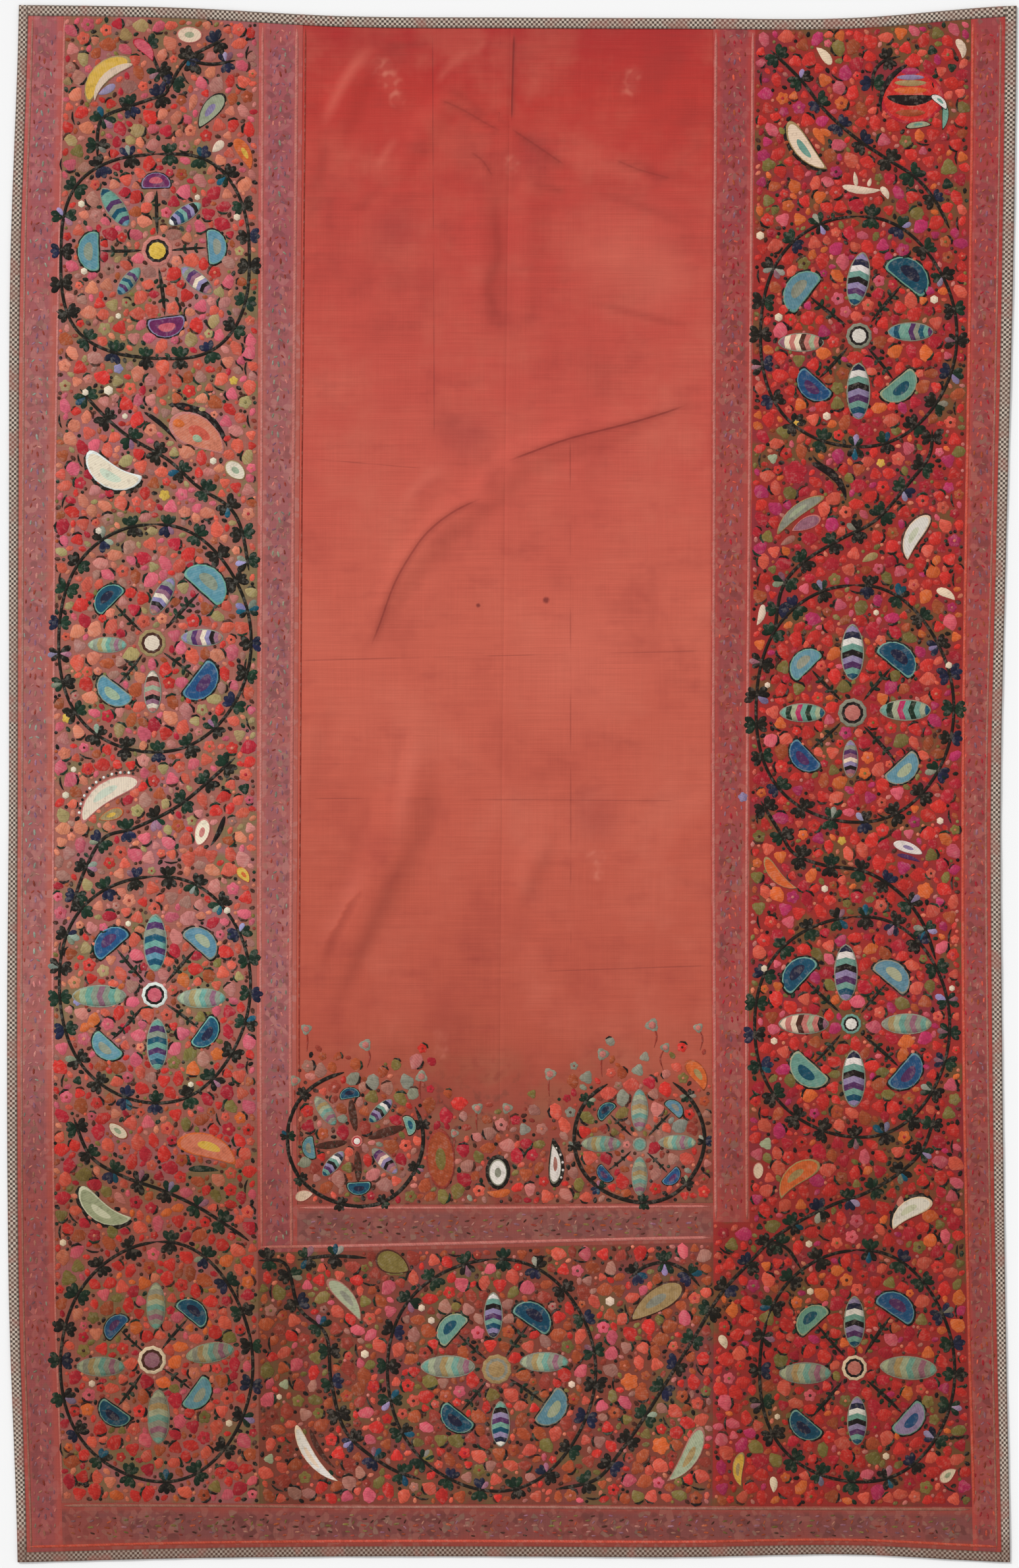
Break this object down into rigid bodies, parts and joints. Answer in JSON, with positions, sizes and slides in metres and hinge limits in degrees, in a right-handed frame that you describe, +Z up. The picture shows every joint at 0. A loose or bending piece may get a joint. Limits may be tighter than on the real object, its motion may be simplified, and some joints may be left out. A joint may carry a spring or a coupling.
{
  "type": "suzani embroidered textile",
  "caption": "Bridal-sheet suzani laid flat: plain red field, embroidered three-sided border with leafy roundels between narrow bands, checked braid edging.",
  "frame": {"origin": "middle of the underside of the cloth's box, on the surface it lies on", "axes": "+X across the cloth to the right, +Y up its length towards the edge with no border, +Z up out of the worked face"},
  "size_m": [1.5316, 2.3624, 0.0102],
  "materials": {
    "field_cloth": "plain ribbed silk and cotton cloth, faded red, matt with a soft sheen",
    "left_border_silk": "close silk embroidery on a faded salmon and pink ground",
    "right_border_silk": "close silk embroidery on a strong red ground",
    "bottom_border_silk": "close silk embroidery on a brownish red ground",
    "band_silk": "narrow embroidered band, mottled purple, magenta and grey, with light guard lines",
    "checked_braid": "narrow woven braid in small black and greyish white checks"
  },
  "bodies": {
    "root": {"field_left": "field_cloth", "field_right": "field_cloth", "border_left": "left_border_silk", "border_right": "right_border_silk", "border_bottom": "bottom_border_silk", "inner_band_left": "band_silk", "inner_band_right": "band_silk", "inner_band_bottom": "band_silk", "outer_band_left": "band_silk", "outer_band_right": "band_silk", "outer_band_bottom": "band_silk", "edging_left": "checked_braid", "edging_right": "checked_braid", "edging_top": "checked_braid", "edging_bottom": "checked_braid"}
  },
  "joints": []
}
